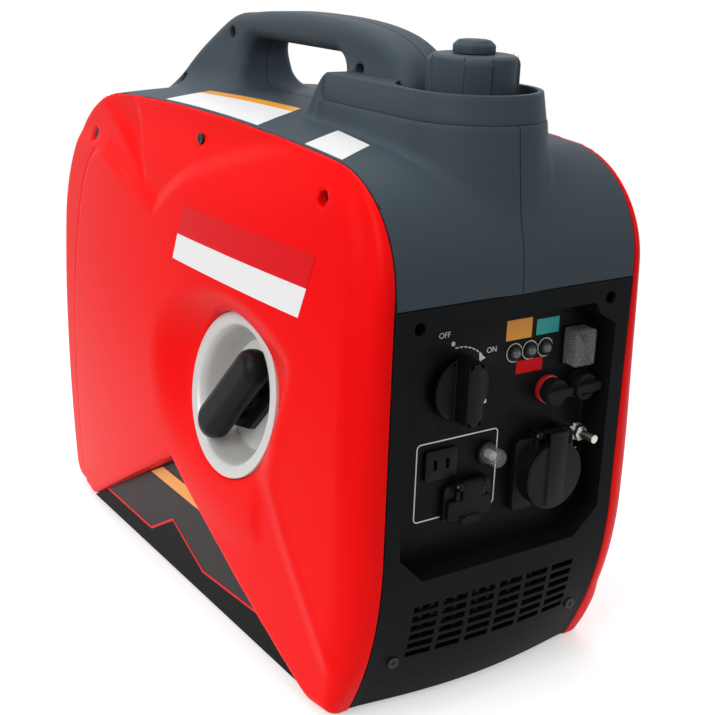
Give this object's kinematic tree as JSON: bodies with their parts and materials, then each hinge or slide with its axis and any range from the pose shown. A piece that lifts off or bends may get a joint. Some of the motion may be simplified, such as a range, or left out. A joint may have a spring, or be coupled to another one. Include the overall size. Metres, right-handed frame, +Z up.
{
  "type": "portable generator",
  "caption": "Suitcase-type portable inverter generator with a carrying handle, recoil starter in the left side, fuel cap on a raised neck, and a recessed control panel at the front.",
  "frame": {"origin": "on the ground under the middle of the body", "axes": "+X to the right as the control panel is faced, -Y out of the control panel, +Z up"},
  "size_m": [0.2661, 0.5014, 0.4506],
  "materials": {
    "red_plastic": "glossy moulded shell",
    "dark_plastic": "satin, fine grain",
    "black_plastic": "satin",
    "red_socket": "glossy",
    "rubber": "matte",
    "clear_plastic": "clear soft plastic",
    "lamp_lens": "clear lens",
    "white_plastic": "satin",
    "bright_alloy": "satin silver",
    "cast_alloy": "as cast",
    "steel": "zinc plated",
    "dark_steel": "black oxide",
    "rope": "braided cord"
  },
  "bodies": {
    "housing": {"left_side_panel": "red_plastic", "right_side_panel": "red_plastic", "upper_cover_left": "dark_plastic", "upper_cover_right": "dark_plastic", "front_bezel": "dark_plastic", "rear_cover": "dark_plastic", "base_tray": "dark_plastic", "filler_collar": "dark_plastic", "control_panel": "black_plastic", "engine_switch_body": "black_plastic", "economy_switch_body": "black_plastic", "mains_outlet": "black_plastic", "low_voltage_outlet": "black_plastic", "breaker_body": "black_plastic", "charging_port": "black_plastic", "rope_guide": "black_plastic", "air_filter": "black_plastic", "starter_housing": "black_plastic", "parallel_socket_right": "black_plastic", "fuel_tank": "black_plastic", "oil_cap": "black_plastic", "parallel_socket_left": "red_socket", "rubber_feet": "rubber", "engine_mounts": "rubber", "economy_switch_boot": "clear_plastic", "breaker_boot": "clear_plastic", "indicator_lamps": "lamp_lens", "lamp_rings": "white_plastic", "starter_dish": "bright_alloy", "crankcase": "cast_alloy", "cylinder": "cast_alloy", "cylinder_head": "cast_alloy", "carburettor": "cast_alloy", "inverter_module": "cast_alloy", "piston_and_rod": "cast_alloy", "earth_stud": "steel", "earth_nut_and_washers": "steel", "hinge_pins": "steel", "stator": "steel", "muffler": "steel", "exhaust_outlet": "steel", "filler_neck": "steel", "ignition_parts": "steel", "case_screws": "dark_steel", "starter_rope": "rope"},
    "cap_seal": {"fuel_cap_gasket": "rubber"},
    "fuel_cap": {"fuel_cap": "black_plastic"},
    "vent_knob": {"vent_knob": "black_plastic"},
    "engine_switch": {"engine_switch_knob": "black_plastic", "engine_switch_shaft": "steel"},
    "starter_grip": {"starter_grip": "black_plastic"},
    "starter_reel": {"starter_reel": "black_plastic"},
    "crank": {"crankshaft": "steel", "flywheel": "steel"},
    "outlet_lid": {"mains_outlet_lid": "black_plastic"},
    "port_flap": {"charging_port_flap": "rubber"},
    "economy_rocker": {"economy_rocker": "black_plastic"},
    "breaker_button": {"breaker_button": "white_plastic"},
    "parallel_cap_left": {"parallel_cap_left": "rubber"},
    "parallel_cap_right": {"parallel_cap_right": "rubber"}
  },
  "joints": [
    {"name": "cap_lift", "type": "slide", "parent": "housing", "child": "cap_seal", "axis": [0, 0, 1], "range_m": [0, 0.06]},
    {"name": "cap_turn", "type": "hinge", "parent": "cap_seal", "child": "fuel_cap", "pos_m": [0, -0.187, 0.42], "axis": [0, 0, 1], "range_deg": [0, 270]},
    {"name": "vent_turn", "type": "hinge", "parent": "fuel_cap", "child": "vent_knob", "pos_m": [0, -0.187, 0.44], "axis": [0, 0, 1], "range_deg": [0, 90]},
    {"name": "engine_switch_turn", "type": "hinge", "parent": "housing", "child": "engine_switch", "pos_m": [-0.032, -0.235, 0.232], "axis": [0, 1, 0], "range_deg": [0, 130]},
    {"name": "starter_pull", "type": "slide", "parent": "housing", "child": "starter_grip", "axis": [-0.9848, 0, 0.1736], "range_m": [0, 0.45], "stiffness_N_per_m": 30, "springref_m": -0.15, "deforming": ["starter_rope"]},
    {"name": "starter_reel_spin", "type": "hinge", "parent": "housing", "child": "starter_reel", "pos_m": [-0.078, -0.09, 0.197], "axis": [1, 0, 0], "range_deg": [0, 760]},
    {"name": "crank_spin", "type": "hinge", "parent": "housing", "child": "crank", "pos_m": [0.02, -0.09, 0.197], "axis": [1, 0, 0], "continuous": true},
    {"name": "lid_swing", "type": "hinge", "parent": "housing", "child": "outlet_lid", "pos_m": [0.044, -0.241, 0.189], "axis": [-1, 0, 0], "range_deg": [0, 95], "stiffness_Nm_per_rad": 0.02, "springref_deg": -22.92},
    {"name": "flap_swing", "type": "hinge", "parent": "housing", "child": "port_flap", "pos_m": [-0.02, -0.2375, 0.164], "axis": [-1, 0, 0], "range_deg": [0, 120]},
    {"name": "economy_tilt", "type": "hinge", "parent": "housing", "child": "economy_rocker", "pos_m": [0.067, -0.23, 0.247], "axis": [-1, 0, 0], "range_deg": [0, 16]},
    {"name": "breaker_push", "type": "slide", "parent": "housing", "child": "breaker_button", "axis": [0, 1, 0], "range_m": [0, 0.003], "stiffness_N_per_m": 400, "springref_m": -0.002},
    {"name": "parallel_cap_left_pull", "type": "slide", "parent": "housing", "child": "parallel_cap_left", "axis": [0, -1, 0], "range_m": [0, 0.03]},
    {"name": "parallel_cap_right_pull", "type": "slide", "parent": "housing", "child": "parallel_cap_right", "axis": [0, -1, 0], "range_m": [0, 0.03]}
  ],
  "couplings": [
    {"joint": "starter_reel_spin", "follows": "starter_pull", "rad_per_m": 29.412}
  ]
}
